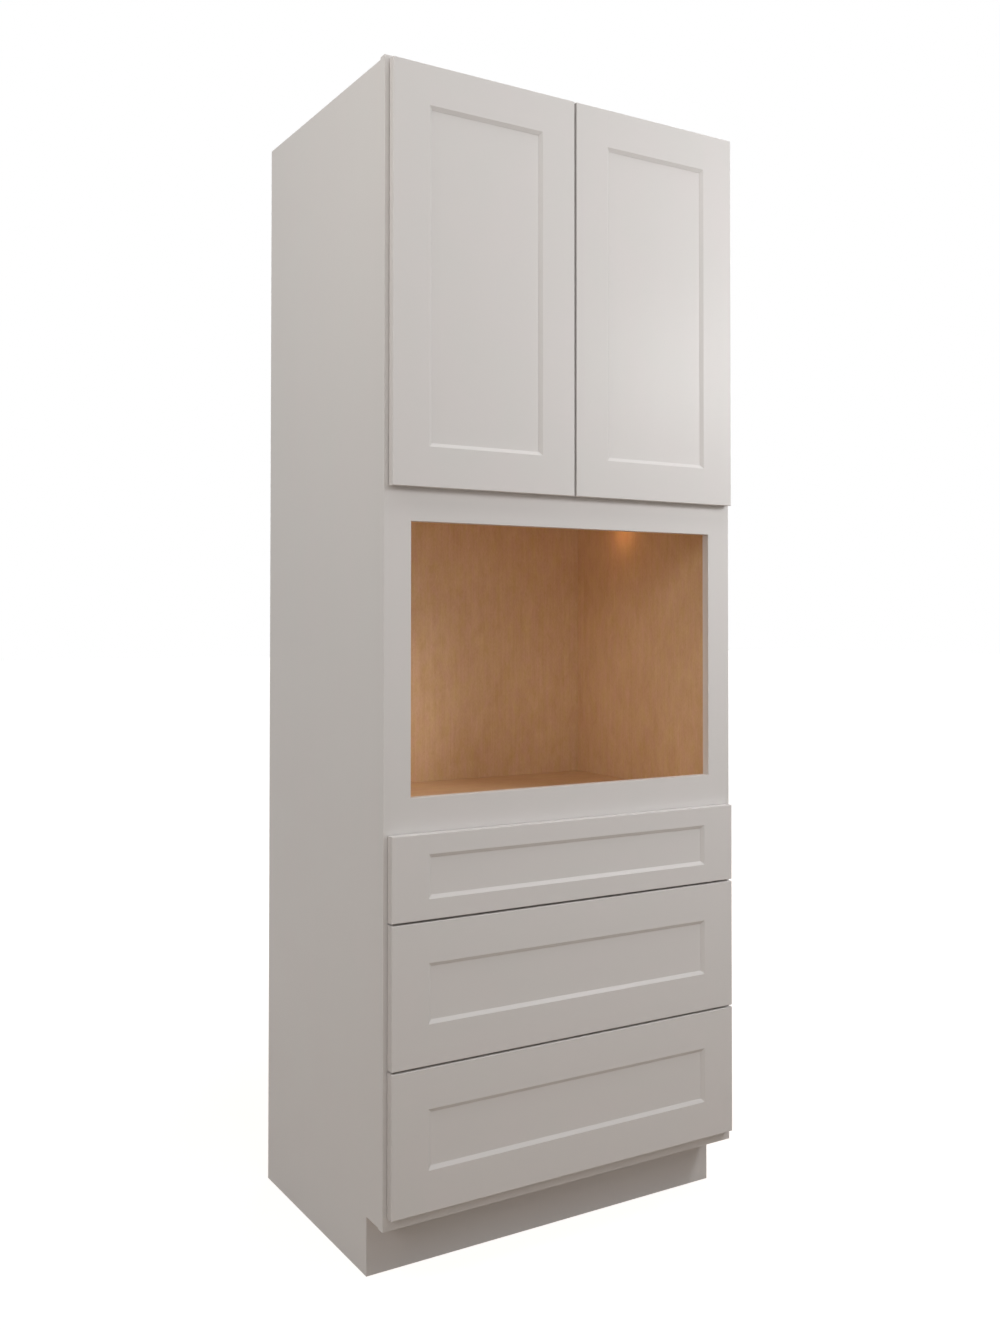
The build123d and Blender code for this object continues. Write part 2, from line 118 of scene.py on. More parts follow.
paint = {
    "cool": "#D7D4D1",
    "warm": "#D9D4D2",
    "roughness": 0.42,
    "coat": 0.3,
    "coatRoughness": 0.22,
    "figureWidth": 60.0,
    "figureLength": 260.0,
    "figureBend": 0.3,
    "cloudWidth": 90.0,
    "cloudShare": 0.5,
    "coolAt": 0.3,
    "warmAt": 0.7,
    "sheenDrift": 0.02,
    "peelWidth": 1.6,
    "peelLength": 5.0,
    "peelDepth": 0.000015,
    "skinDepth": 0.0008,  # how far in from a side panel's outside still counts as painted
    "frontStileWidth": 0.0765,
}


# Catalysed enamel sprayed on maple: an even satin skin with a fine orange peel. The wood
# tells through it only as the faintest of warmer and cooler drifts
def paintTone(tree, grain):
    figure = grainFigure(tree, grain, paint["figureWidth"], paint["figureLength"], detail=2.0,
                         distortion=paint["figureBend"])
    clouds = grainFigure(tree, grain, paint["cloudWidth"], paint["cloudWidth"], detail=1.0)
    drift = addNode(tree, "ShaderNodeMix", {0: paint["cloudShare"], 2: figure, 3: clouds},
                    data_type="FLOAT")
    tone = addNode(tree, "ShaderNodeValToRGB", {"Fac": drift.outputs[0]},
                   [(paint["coolAt"], paint["cool"]), (paint["warmAt"], paint["warm"])])
    return tone.outputs["Color"]


def coatWithPaint(tree, shader, tone, grain):
    peel = grainFigure(tree, grain, paint["peelWidth"], paint["peelLength"])
    relief = addNode(tree, "ShaderNodeBump", {"Height": peel, "Distance": paint["peelDepth"]})
    clouds = grainFigure(tree, grain, paint["cloudWidth"], paint["cloudWidth"], detail=1.0)
    sheen = addNode(tree, "ShaderNodeMapRange", {"Value": clouds, "From Min": paint["coolAt"],
                                                 "From Max": paint["warmAt"],
                                                 "To Min": paint["roughness"] - paint["sheenDrift"],
                                                 "To Max": paint["roughness"] + paint["sheenDrift"]})
    tree.links.new(tone, shader.inputs["Base Color"])
    tree.links.new(relief.outputs["Normal"], shader.inputs["Normal"])
    tree.links.new(sheen.outputs["Result"], shader.inputs["Roughness"])
    shader.inputs["Coat Weight"].default_value = paint["coat"]
    shader.inputs["Coat Roughness"].default_value = paint["coatRoughness"]


def satinPaint(grain):
    finish, tree, shader = newFinish("satinPaint" + grain)
    coatWithPaint(tree, shader, paintTone(tree, grain), grain)
    return finish


# A drawer front's uprights and level rails are one node: the grain turns at the joint
def frontFramePaint():
    finish, tree, shader = newFinish("satinPaintFrontFrame")
    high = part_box("bottom_drawer_front_frame")[1]
    upright = beyondPlane(tree, "X", high.x - paint["frontStileWidth"])
    tone = addNode(tree, "ShaderNodeMix", {0: upright, 6: paintTone(tree, "X"), 7: paintTone(tree, "Z")},
                   data_type="RGBA")
    coatWithPaint(tree, shader, tone.outputs[2], "X")
    return finish


maple = {
    "deepYellow": "#CAA574",
    "paleYellow": "#E0C293",
    "deepRosy": "#CCA17F",
    "paleRosy": "#E1BE9F",
    "endGrain": "#B98F65",
    "crossPly": "#B58C61",
    "deep": "#CBA37A",
    "middle": "#D6B289",
    "deepAt": 0.33,
    "paleAt": 0.67,
    "cloudWidth": 30.0,
    "cloudLength": 62.0,
    "cloudBend": 0.6,
    "streakWidth": 4.0,
    "streakLength": 190.0,
    "streakShare": 0.36,
    "fleckWidth": 2.4,
    "fleckLength": 6.0,
    "fleckShare": 0.32,
    "hueWidth": 17.0,
    "hueLength": 40.0,
    "hueBend": 0.3,
    "hueLog": 9.0,  # keeps the hue's figure apart from the tone's
    "yellowAt": 0.32,
    "rosyAt": 0.68,
    "speckleWidth": 0.9,
    "cutDeepAt": 0.35,
    "cutPaleAt": 0.65,
    "plyPair": 3.2,
    "plyContrast": 0.5,
    "plyStreakWidth": 0.8,
    "plyStreakLength": 12.0,
    "plyDeepAt": 0.3,
    "plyPaleAt": 0.7,
    "stripThickness": 0.0006,
    "roughness": 0.4,
    "poreDepth": 0.00003,
}


# Sliced maple under clear lacquer: soft clouds and faint streaks along the grain, short
# flecks of pore, and a hue that wanders between yellow and rosy at every size
def mapleTone(tree, grain):
    clouds = grainFigure(tree, grain, maple["cloudWidth"], maple["cloudLength"], detail=4.0,
                         distortion=maple["cloudBend"])
    streaks = grainFigure(tree, grain, maple["streakWidth"], maple["streakLength"], detail=4.0)
    flecks = grainFigure(tree, grain, maple["fleckWidth"], maple["fleckLength"], detail=2.0)
    broad = addNode(tree, "ShaderNodeMix", {0: maple["streakShare"], 2: clouds, 3: streaks},
                    data_type="FLOAT")
    mixed = addNode(tree, "ShaderNodeMix", {0: maple["fleckShare"], 2: broad.outputs[0], 3: flecks},
                    data_type="FLOAT")
    yellow = addNode(tree, "ShaderNodeValToRGB", {"Fac": mixed.outputs[0]},
                     [(maple["deepAt"], maple["deepYellow"]), (maple["paleAt"], maple["paleYellow"])])
    rosy = addNode(tree, "ShaderNodeValToRGB", {"Fac": mixed.outputs[0]},
                   [(maple["deepAt"], maple["deepRosy"]), (maple["paleAt"], maple["paleRosy"])])
    wander = grainFigure(tree, grain, maple["hueWidth"], maple["hueLength"], detail=5.0,
                         distortion=maple["hueBend"], log=maple["hueLog"])
    share = addNode(tree, "ShaderNodeMapRange", {"Value": wander, "From Min": maple["yellowAt"],
                                                 "From Max": maple["rosyAt"]})
    tone = addNode(tree, "ShaderNodeMix", {0: share.outputs["Result"], 6: yellow.outputs["Color"],
                                           7: rosy.outputs["Color"]}, data_type="RGBA")
    return tone.outputs[2]


def lacquerMaple(tree, shader, tone, grain):
    flecks = grainFigure(tree, grain, maple["fleckWidth"], maple["fleckLength"], detail=2.0)
    relief = addNode(tree, "ShaderNodeBump", {"Height": flecks, "Distance": maple["poreDepth"]})
    tree.links.new(tone, shader.inputs["Base Color"])
    tree.links.new(relief.outputs["Normal"], shader.inputs["Normal"])
    shader.inputs["Roughness"].default_value = maple["roughness"]


# Drawer boards: planed maple, darker and speckled where the fibres are cut across
def solidMaple(grain):
    finish, tree, shader = newFinish("solidMaple" + grain)
    speckle = grainFigure(tree, grain, maple["speckleWidth"], maple["speckleWidth"], detail=2.0)
    cut = addNode(tree, "ShaderNodeValToRGB", {"Fac": speckle},
                  [(maple["cutDeepAt"], maple["endGrain"]), (maple["cutPaleAt"], maple["deep"])])
    tone = addNode(tree, "ShaderNodeMix", {0: facesTurnedTo(tree, grain), 6: mapleTone(tree, grain),
                                           7: cut.outputs["Color"]}, data_type="RGBA")
    lacquerMaple(tree, shader, tone.outputs[2], grain)
    return finish


# The cut edge of plywood: plies of long fibres and end fibres in turn, stacked through it
def plyEdgeTone(tree, grain, through):
    place = addNode(tree, "ShaderNodeTexCoord").outputs["Object"]
    depth = addNode(tree, "ShaderNodeSeparateXYZ", {0: place}).outputs[through]
    turns = addNode(tree, "ShaderNodeMath", {0: depth, 1: 2000 * math.pi / maple["plyPair"]},
                    operation="MULTIPLY")
    wave = addNode(tree, "ShaderNodeMath", {0: turns.outputs[0]}, operation="SINE")
    streaks = grainFigure(tree, grain, maple["plyStreakWidth"], maple["plyStreakLength"], detail=2.0)
    layer = addNode(tree, "ShaderNodeMath", {0: wave.outputs[0], 1: maple["plyContrast"], 2: streaks},
                    operation="MULTIPLY_ADD")
    return addNode(tree, "ShaderNodeValToRGB", {"Fac": layer.outputs[0]},
                   [(maple["plyDeepAt"], maple["crossPly"]),
                    (maple["plyPaleAt"], maple["middle"])]).outputs["Color"]


def maplePlywood(grain, through):
    finish, tree, shader = newFinish("maplePlywood" + grain + through)
    tone = addNode(tree, "ShaderNodeMix", {0: facesTurnedTo(tree, through),
                                           6: plyEdgeTone(tree, grain, through),
                                           7: mapleTone(tree, grain)}, data_type="RGBA")
    lacquerMaple(tree, shader, tone.outputs[2], grain)
    return finish


# Shelf plywood with a strip of veneer glued along its front edge
def bandedPlywood():
    finish, tree, shader = newFinish("bandedPlywood")
    front = -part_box("adjustable_shelf")[0].y - maple["stripThickness"]
    frontEdge = addNode(tree, "ShaderNodeMath", {0: beyondPlane(tree, "Y", front),
                                                 1: facesTurnedTo(tree, "Y")}, operation="MULTIPLY")
    covered = addNode(tree, "ShaderNodeMath", {0: facesTurnedTo(tree, "Z"), 1: frontEdge.outputs[0]},
                      operation="MAXIMUM")
    tone = addNode(tree, "ShaderNodeMix", {0: covered.outputs[0], 6: plyEdgeTone(tree, "X", "Z"),
                                           7: mapleTone(tree, "X")}, data_type="RGBA")
    lacquerMaple(tree, shader, tone.outputs[2], "X")
    return finish


# A side panel is painted outside, veneer inside, and bare plies on its edges
def paintedSide(side):
    finish, tree, shader = newFinish("paintedSide" + side.capitalize())
    low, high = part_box(side + "_side_panel")
    outside = beyondPlane(tree, "X", max(abs(low.x), abs(high.x)) - paint["skinDepth"])
    flat = facesTurnedTo(tree, "X")
    bare = addNode(tree, "ShaderNodeMix", {0: flat, 6: plyEdgeTone(tree, "Z", "X"),
                                           7: mapleTone(tree, "Z")}, data_type="RGBA")
    skin = addNode(tree, "ShaderNodeMath", {0: outside, 1: flat}, operation="MULTIPLY")
    tone = addNode(tree, "ShaderNodeMix", {0: skin.outputs[0], 6: bare.outputs[2],
                                           7: paintTone(tree, "Z")}, data_type="RGBA")
    coatWithPaint(tree, shader, tone.outputs[2], "Z")
    return finish


zinc = {
    "dark": "#A3A6A8",
    "light": "#C6C8C9",
    "darkAt": 0.35,
    "lightAt": 0.65,
    "lineWidth": 0.8,
    "lineLength": 40.0,
    "lineDepth": 0.00001,
    "spangleWidth": 5.0,
    "spangleLength": 9.0,
    "spangleShare": 0.5,
    "smooth": 0.28,
    "rough": 0.46,
}


# Zinc-plated runner steel, rolled along its length: dull, with faint lines and spangle
def zincPlate():
    finish, tree, shader = newFinish("zincPlate")
    lines = grainFigure(tree, "Y", zinc["lineWidth"], zinc["lineLength"])
    spangle = grainFigure(tree, "Y", zinc["spangleWidth"], zinc["spangleLength"])
    mixed = addNode(tree, "ShaderNodeMix", {0: zinc["spangleShare"], 2: lines, 3: spangle},
                    data_type="FLOAT")
    tone = addNode(tree, "ShaderNodeValToRGB", {"Fac": mixed.outputs[0]},
                   [(zinc["darkAt"], zinc["dark"]), (zinc["lightAt"], zinc["light"])])
    sheen = addNode(tree, "ShaderNodeMapRange", {"Value": spangle, "To Min": zinc["smooth"],
                                                 "To Max": zinc["rough"]})
    relief = addNode(tree, "ShaderNodeBump", {"Height": lines, "Distance": zinc["lineDepth"]})
    tree.links.new(tone.outputs["Color"], shader.inputs["Base Color"])
    tree.links.new(sheen.outputs["Result"], shader.inputs["Roughness"])
    tree.links.new(relief.outputs["Normal"], shader.inputs["Normal"])
    shader.inputs["Metallic"].default_value = 1.0
    return finish


nickel = {
    "dark": "#BDB8AF",
    "light": "#D2CEC6",
    "darkAt": 0.3,
    "lightAt": 0.7,
    "hazeWidth": 3.0,
    "hazeLength": 5.0,
    "smooth": 0.18,
    "rough": 0.34,
}


# Nickel-plated hinge steel: brighter and warmer than zinc, slightly hazed
def nickelPlate():
    finish, tree, shader = newFinish("nickelPlate")
    haze = grainFigure(tree, "Z", nickel["hazeWidth"], nickel["hazeLength"])
    tone = addNode(tree, "ShaderNodeValToRGB", {"Fac": haze},
                   [(nickel["darkAt"], nickel["dark"]), (nickel["lightAt"], nickel["light"])])
    sheen = addNode(tree, "ShaderNodeMapRange", {"Value": haze, "To Min": nickel["smooth"],
                                                 "To Max": nickel["rough"]})
    tree.links.new(tone.outputs["Color"], shader.inputs["Base Color"])
    tree.links.new(sheen.outputs["Result"], shader.inputs["Roughness"])
    shader.inputs["Metallic"].default_value = 1.0
    return finish


frosting = {
    "width": 0.7,
    "depth": 0.00002,
    "darkAt": 0.3,
    "lightAt": 0.7,
}


# Moulded plastic, with the fine frosting of the mould
def mouldedPlastic(name, dark, light, roughness):
    finish, tree, shader = newFinish(name)
    frost = grainFigure(tree, "Z", frosting["width"], frosting["width"])
    tone = addNode(tree, "ShaderNodeValToRGB", {"Fac": frost},
                   [(frosting["darkAt"], dark), (frosting["lightAt"], light)])
    relief = addNode(tree, "ShaderNodeBump", {"Height": frost, "Distance": frosting["depth"]})
    tree.links.new(tone.outputs["Color"], shader.inputs["Base Color"])
    tree.links.new(relief.outputs["Normal"], shader.inputs["Normal"])
    shader.inputs["Roughness"].default_value = roughness
    return finish


finishes = {
    "paintUp": satinPaint("Z"),
    "paintLevel": satinPaint("X"),
    "paintFront": frontFramePaint(),
    "leftSide": paintedSide("left"),
    "rightSide": paintedSide("right"),
    "deck": maplePlywood("X", "Z"),
    "back": maplePlywood("Z", "Y"),
    "rail": maplePlywood("X", "Y"),
    "shelf": bandedPlywood(),
    "boardDeep": solidMaple("Y"),
    "boardLevel": solidMaple("X"),
    "zinc": zincPlate(),
    "nickel": nickelPlate(),
    "bumper": mouldedPlastic("bumperVinyl", "#D3D3CF", "#E4E4E0", 0.3),
    "clip": mouldedPlastic("clipNylon", "#8E9296", "#9A9EA2", 0.45),
    "lever": mouldedPlastic("leverNylon", "#4B5056", "#565B61", 0.4),
}

# The first words that a node's name holds give its finish
finishWords = [
    ("left_side", "leftSide"), ("right_side", "rightSide"), ("back_panel", "back"),
    ("hanging", "rail"), ("cleats", "boardDeep"), ("adjustable", "shelf"), ("shelf_pins", "nickel"),
    ("box_sides", "boardDeep"), ("box_ends", "boardLevel"), ("box_bottom", "deck"),
    ("deck", "deck"), ("bottom_panel", "deck"), ("top_panel", "deck"),
    ("hinge_arms", "nickel"), ("hinge_cups", "nickel"), ("hinge_pins", "nickel"),
    ("_members", "zinc"), ("runner_", "zinc"), ("bumpers", "bumper"),
    ("front_frame", "paintFront"), ("stile", "paintUp"), ("door_panel", "paintUp"),
]


def finishFor(node):
    for words, finish in finishWords:
        if words in node:
            return finishes[finish]
    return finishes["paintLevel"]


for name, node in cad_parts.items():
    node.data.materials.clear()
    node.data.materials.append(finishFor(name))
print("finishes on", len(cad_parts), "nodes")


def newPiece(name, shape, finish, body):
    mesh = bpy.data.meshes.new(name)
    shape.to_mesh(mesh)
    shape.free()
    mesh.materials.append(finishes[finish])
    piece = bpy.data.objects.new(name, mesh)
    bpy.context.scene.collection.objects.link(piece)
    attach(piece, body)
    return piece


# Adds a mesh to a shape, turned and placed
def addCopy(shape, mesh, matrix):
    before = len(shape.verts)
    shape.from_mesh(mesh)
    shape.verts.ensure_lookup_table()
    bmesh.ops.transform(shape, matrix=matrix, verts=shape.verts[before:])


# Bent and turned pieces keep their corners and lose their facets
roundedMetal = {
    "cornerAngle": 35.0,
    "flatAngle": 0.5,
    "mergeDistance": 0.00001,
    "pieces": [
        ("hinge_arms", "nickel", "cabinet", "nickel_steel"),
        ("left_door_hinge_cups", "nickel", "left_door", "nickel_steel"),
        ("right_door_hinge_cups", "nickel", "right_door", "nickel_steel"),
        ("left_door_hinge_pins", "nickel", "left_door", "nickel_steel"),
        ("right_door_hinge_pins", "nickel", "right_door", "nickel_steel"),
        ("shelf_pins", "nickel", "cabinet", "nickel_steel"),
        ("closing_bumpers", "bumper", "cabinet", "bumper_plastic"),
        ("bottom_drawer_carrying_members", "zinc", "bottom_drawer", "zinc_steel"),
        ("middle_drawer_carrying_members", "zinc", "middle_drawer", "zinc_steel"),
        ("top_drawer_carrying_members", "zinc", "top_drawer", "zinc_steel"),
    ],
}


def smoothPiece(node, finish, body):
    shape = bmesh.new()
    shape.from_mesh(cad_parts[node].data)
    bmesh.ops.remove_doubles(shape, verts=shape.verts, dist=roundedMetal["mergeDistance"])
    bmesh.ops.dissolve_limit(shape, angle_limit=math.radians(roundedMetal["flatAngle"]),
                             verts=shape.verts, edges=shape.edges)
    for face in shape.faces:
        face.smooth = True
    for edge in shape.edges:
        edge.smooth = edge.calc_face_angle(math.pi) < math.radians(roundedMetal["cornerAngle"])
    words = node.split("_")
    piece = newPiece(words[0] + "".join(word.capitalize() for word in words[1:]) + "Smooth",
                     shape, finish, body)
    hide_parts(node)


for node, finish, body, slot in roundedMetal["pieces"]:
    smoothPiece(node, finish, body)
print("smooth metal pieces made")


crossHead = {
    "sides": 24,
    "flatShare": 0.62,
    "slotShare": 0.17,
    "reachShare": 0.46,
    "recessDepth": 0.0009,
    "recessTaper": 0.03,
    "firstTurn": 23,
    "nextTurn": 71,
    # share of the radius, share of the height down from the flat
    "dome": [(0.86, 0.18), (0.97, 0.5), (1.0, 1.0)],
}


# A screw's pan head with its cross recess, standing on the origin and facing up
def crossHeadMesh(radius, height):
    head = bmesh.new()
    bmesh.ops.create_circle(head, cap_ends=True, segments=crossHead["sides"],
                            radius=radius * crossHead["flatShare"],
                            matrix=Matrix.Translation((0, 0, height)))
    slot, reach = radius * crossHead["slotShare"], radius * crossHead["reachShare"]
    for across in (Vector((1, 0, 0)), Vector((0, 1, 0))):
        for offset in (-reach, -slot, slot, reach):
            bmesh.ops.bisect_plane(head, geom=head.verts[:] + head.edges[:] + head.faces[:],
                                   plane_co=across * offset, plane_no=across)
    arms = []
    for face in head.faces:
        middle = face.calc_center_median()
        nearer, further = sorted((abs(middle.x), abs(middle.y)))
        if nearer < slot and further < reach:
            arms.append(face)
    bmesh.ops.inset_region(head, faces=arms, thickness=radius * crossHead["recessTaper"],
                           depth=-crossHead["recessDepth"])
    bottomRim = [edge for edge in head.edges if edge.is_boundary]
    ringRadius = radius * crossHead["flatShare"]
    ringTop = height
    for radiusShare, dropShare in crossHead["dome"]:
        ring = bmesh.ops.extrude_edge_only(head, edges=bottomRim)["geom"]
        verts = [part for part in ring if isinstance(part, bmesh.types.BMVert)]
        bottomRim = [part for part in ring if isinstance(part, bmesh.types.BMEdge)
                     and all(vert in verts for vert in part.verts)]
        grow = radius * radiusShare / ringRadius
        bmesh.ops.scale(head, vec=(grow, grow, 1), verts=verts)
        newTop = height * (1 - dropShare)
        bmesh.ops.translate(head, vec=(0, 0, newTop - ringTop), verts=verts)
        ringRadius, ringTop = radius * radiusShare, newTop
    bmesh.ops.contextual_create(head, geom=bottomRim)
    bmesh.ops.recalc_face_normals(head, faces=head.faces)
    mesh = bpy.data.meshes.new("crossHead")
    head.to_mesh(mesh)
    head.free()
    return mesh


def addScrews(name, body, places, facing, radius, height, finish, slot):
    head = crossHeadMesh(radius, height)
    shape = bmesh.new()
    for index, place in enumerate(places):
        turn = Vector(facing).to_track_quat("Z", "Y").to_matrix().to_4x4()
        angle = crossHead["firstTurn"] + crossHead["nextTurn"] * index  # no two driven home alike
        spin = Matrix.Rotation(math.radians(angle), 4, "Z")
        addCopy(shape, head, Matrix.Translation(place) @ turn @ spin)
    newPiece(name, shape, finish, body)


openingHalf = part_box("oven_bottom_rail")[1].x
sides = {"left": -1, "right": 1}

hingeScrews = {
    "plateThickness": 0.003,
    "plateScrewY": 0.008,
    "plateSpacing": 0.028,
    "plateHeight": 0.042,
    "plateHead": (0.0034, 0.0011),
    "cupFromDoorEdge": 0.0219,
    "cupSpacing": 0.048,
    "cupEarHeight": 0.062,
    "cupHead": (0.0033, 0.0003),
}


def addHingeScrews():
    size = hingeScrews
    armsLow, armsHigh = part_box("hinge_arms")
    halfPlate = size["plateHeight"] / 2
    for side, sign in sides.items():
        plateX = sign * (openingHalf - size["plateThickness"])
        places = []
        for middleZ in (armsLow.z + halfPlate, armsHigh.z - halfPlate):
            for offset in (-size["plateSpacing"] / 2, size["plateSpacing"] / 2):
                places.append((plateX, armsHigh.y - size["plateScrewY"], middleZ + offset))
        addScrews(side + "HingePlateScrews", "cabinet", places, (-sign, 0, 0), *size["plateHead"],
                  "nickel", "nickel_steel")

        cupsLow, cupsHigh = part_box(side + "_door_hinge_cups")
        stileLow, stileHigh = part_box(side + "_door_hinge_stile")
        edgeX = stileLow.x if sign < 0 else stileHigh.x
        places = []
        for middleZ in (cupsLow.z + size["cupEarHeight"] / 2, cupsHigh.z - size["cupEarHeight"] / 2):
            for offset in (-size["cupSpacing"] / 2, size["cupSpacing"] / 2):
                places.append((edgeX - sign * size["cupFromDoorEdge"], cupsHigh.y, middleZ + offset))
        addScrews(side + "HingeCupScrews", side + "_door", places, (0, 1, 0), *size["cupHead"],
                  "nickel", "nickel_steel")


addHingeScrews()

drawerNames = ["bottom", "middle", "top"]

runner = {
    "halfMemberWidth": 0.0121,
    "boxLift": 0.0143,  # how high a drawer box stands over the rail that its runners lie on
}

frontScrews = {
    "fromMiddle": 0.25,
    "heightShares": (0.3, 0.7),
    "boardThickness": 0.016,
    "head": (0.0048, 0.0019),
}

runnerScrews = {
    "flangeThickness": 0.0015,
    "fromFrameFace": 0.009,
    "fromRunnerMiddle": 0.0128,
    "flangeHead": (0.0024, 0.001),
    "bracketRise": 0.034,
    "bracketFromMiddle": 0.009,
    "bracketHead": (0.0035, 0.0016),
}


# Four screws hold each front to its box, and two at the face frame and two at the back hold
# each runner
def addDrawerScrews():
    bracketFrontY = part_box("runner_rear_brackets")[1].y - runnerScrews["flangeThickness"]
    bracketPlaces, flangePlaces = [], []
    for name in drawerNames:
        low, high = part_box(name + "_drawer_box_ends")
        places = []
        for share in frontScrews["heightShares"]:
            for x in (-frontScrews["fromMiddle"], frontScrews["fromMiddle"]):
                places.append((x, low.y + frontScrews["boardThickness"],
                               low.z + share * (high.z - low.z)))
        addScrews(name + "DrawerFrontScrews", name + "_drawer", places, (0, 1, 0),
                  *frontScrews["head"], "zinc", "zinc_steel")

        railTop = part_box(name + "_drawer_box_sides")[0].z - runner["boxLift"]
        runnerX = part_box(name + "_drawer_middle_members")[1].x - runner["halfMemberWidth"]
        for sign in sides.values():
            for shift in (-1, 1):
                flangePlaces.append((sign * runnerX + shift * runnerScrews["fromRunnerMiddle"],
                                     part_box("oven_bottom_rail")[0].y + runnerScrews["fromFrameFace"],
                                     railTop + runnerScrews["flangeThickness"]))
                bracketPlaces.append((sign * runnerX + shift * runnerScrews["bracketFromMiddle"],
                                      bracketFrontY, railTop + runnerScrews["bracketRise"]))
    addScrews("runnerFlangeScrews", "cabinet", flangePlaces, (0, 0, 1), *runnerScrews["flangeHead"],
              "zinc", "zinc_steel")
    addScrews("runnerBracketScrews", "cabinet", bracketPlaces, (0, -1, 0),
              *runnerScrews["bracketHead"], "zinc", "zinc_steel")


addDrawerScrews()
print("screws set")


lockingClip = {
    "size": (0.025, 0.056, 0.0102),
    "fromRunner": 0.0146,
    "behindFront": 0.0165,
    "belowBoard": 0.0002,
    "cornerRadius": 0.003,
    "cornerSteps": 5,
    "edgeRadius": 0.0006,
    "edgeSteps": 2,
    "leastRise": 0.001,
    "sharpAngle": 60,
    "leverSize": (0.015, 0.03, 0.0032),
    "leverTaper": 0.7,
    "leverThinning": 0.7,
    "leverRadius": 0.001,
    "leverSteps": 3,
    "leverOverlap": 0.35,  # share of the lever's width, from its middle to the block's side
    "leverSetBack": 0.004,
    "leverDrop": 0.25,  # share of the block's height, below its middle
}


# The block that grips the runner under a drawer box's front corner
def clipBlock(shape, centre):
    made = bmesh.ops.create_cube(shape, size=1.0)["verts"]
    bmesh.ops.scale(shape, vec=lockingClip["size"], verts=made)
    bmesh.ops.translate(shape, vec=centre, verts=made)
    upright = [edge for edge in shape.edges
               if abs(edge.verts[0].co.z - edge.verts[1].co.z) > lockingClip["leastRise"]]
    bmesh.ops.bevel(shape, geom=upright, offset=lockingClip["cornerRadius"],
                    segments=lockingClip["cornerSteps"], affect="EDGES", profile=0.5, material=-1)
    sharp = [edge for edge in shape.edges
             if edge.calc_face_angle(0) > math.radians(lockingClip["sharpAngle"])]
    bmesh.ops.bevel(shape, geom=sharp, offset=lockingClip["edgeRadius"],
                    segments=lockingClip["edgeSteps"], affect="EDGES", profile=0.5, material=-1)


# The lever that a thumb presses to free the clip, narrower and thinner at its tip
def clipLever(shape, centre, sign):
    made = bmesh.ops.create_cube(shape, size=1.0)["verts"]
    bmesh.ops.scale(shape, vec=lockingClip["leverSize"], verts=made)
    tip = [vert for vert in made if vert.co.x * sign < 0]
    bmesh.ops.scale(shape, vec=(1, lockingClip["leverTaper"], lockingClip["leverThinning"]), verts=tip)
    bmesh.ops.translate(shape, vec=centre, verts=made)
    edges = [edge for edge in shape.edges if edge.verts[0] in made]
    bmesh.ops.bevel(shape, geom=edges, offset=lockingClip["leverRadius"],
                    segments=lockingClip["leverSteps"], affect="EDGES", profile=0.5, material=-1)


def addLockingClips():
    width, length, height = lockingClip["size"]
    for name in drawerNames:
        blocks, levers = bmesh.new(), bmesh.new()
        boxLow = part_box(name + "_drawer_box_ends")[0]
        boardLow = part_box(name + "_drawer_box_bottom")[0]
        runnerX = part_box(name + "_drawer_middle_members")[1].x - runner["halfMemberWidth"]
        for sign in sides.values():
            x = sign * (runnerX - lockingClip["fromRunner"] - width / 2)
            y = boxLow.y + lockingClip["behindFront"] + length / 2
            z = boardLow.z - lockingClip["belowBoard"] - height / 2
            blockShape = bmesh.new()
            clipBlock(blockShape, (x, y, z))
            block = bpy.data.meshes.new("clipBlock")
            blockShape.to_mesh(block)
            blockShape.free()
            addCopy(blocks, block, Matrix.Identity(4))
            reach = width / 2 + lockingClip["leverSize"][0] * lockingClip["leverOverlap"]
            leverPlace = (x - sign * reach, y + lockingClip["leverSetBack"],
                          z - height * lockingClip["leverDrop"])
            clipLever(levers, leverPlace, sign)
        newPiece(name + "DrawerLockingClips", blocks, "clip", name + "_drawer")
        newPiece(name + "DrawerClipLevers", levers, "lever", name + "_drawer")


addLockingClips()
print("locking clips made")


# The photograph's camera, solved from the cabinet's own edges: metres and degrees
camera = {
    "place": (-1.4762, -2.4328, 1.2365),
    "yaw": 31.3128,
    "pitch": 0.9251,
    "roll": 0.039,
    "focalPixels": 1288.3,
    "middleRow": 601.08,
    "imageHeight": 1330.0,
    "sensorHeight": 36.0,
    "farthest": 100.0,
}


def placeCamera():
    data = bpy.data.cameras.new("camera")
    data.sensor_fit = "VERTICAL"
    data.sensor_height = camera["sensorHeight"]
    data.lens = camera["focalPixels"] * data.sensor_height / camera["imageHeight"]
    data.shift_y = camera["middleRow"] / camera["imageHeight"] - 0.5
    data.clip_end = camera["farthest"]
    eye = bpy.data.objects.new("camera", data)
    bpy.context.scene.collection.objects.link(eye)
    turn = Euler((math.radians(90 + camera["pitch"]), 0, -math.radians(camera["yaw"]))).to_matrix()
    turn = turn @ Matrix.Rotation(math.radians(camera["roll"]), 3, "Z")
    eye.matrix_world = Matrix.Translation(camera["place"]) @ turn.to_4x4()
    bpy.context.scene.camera = eye


cabinetMiddle = (0.0, -0.2, 1.2)

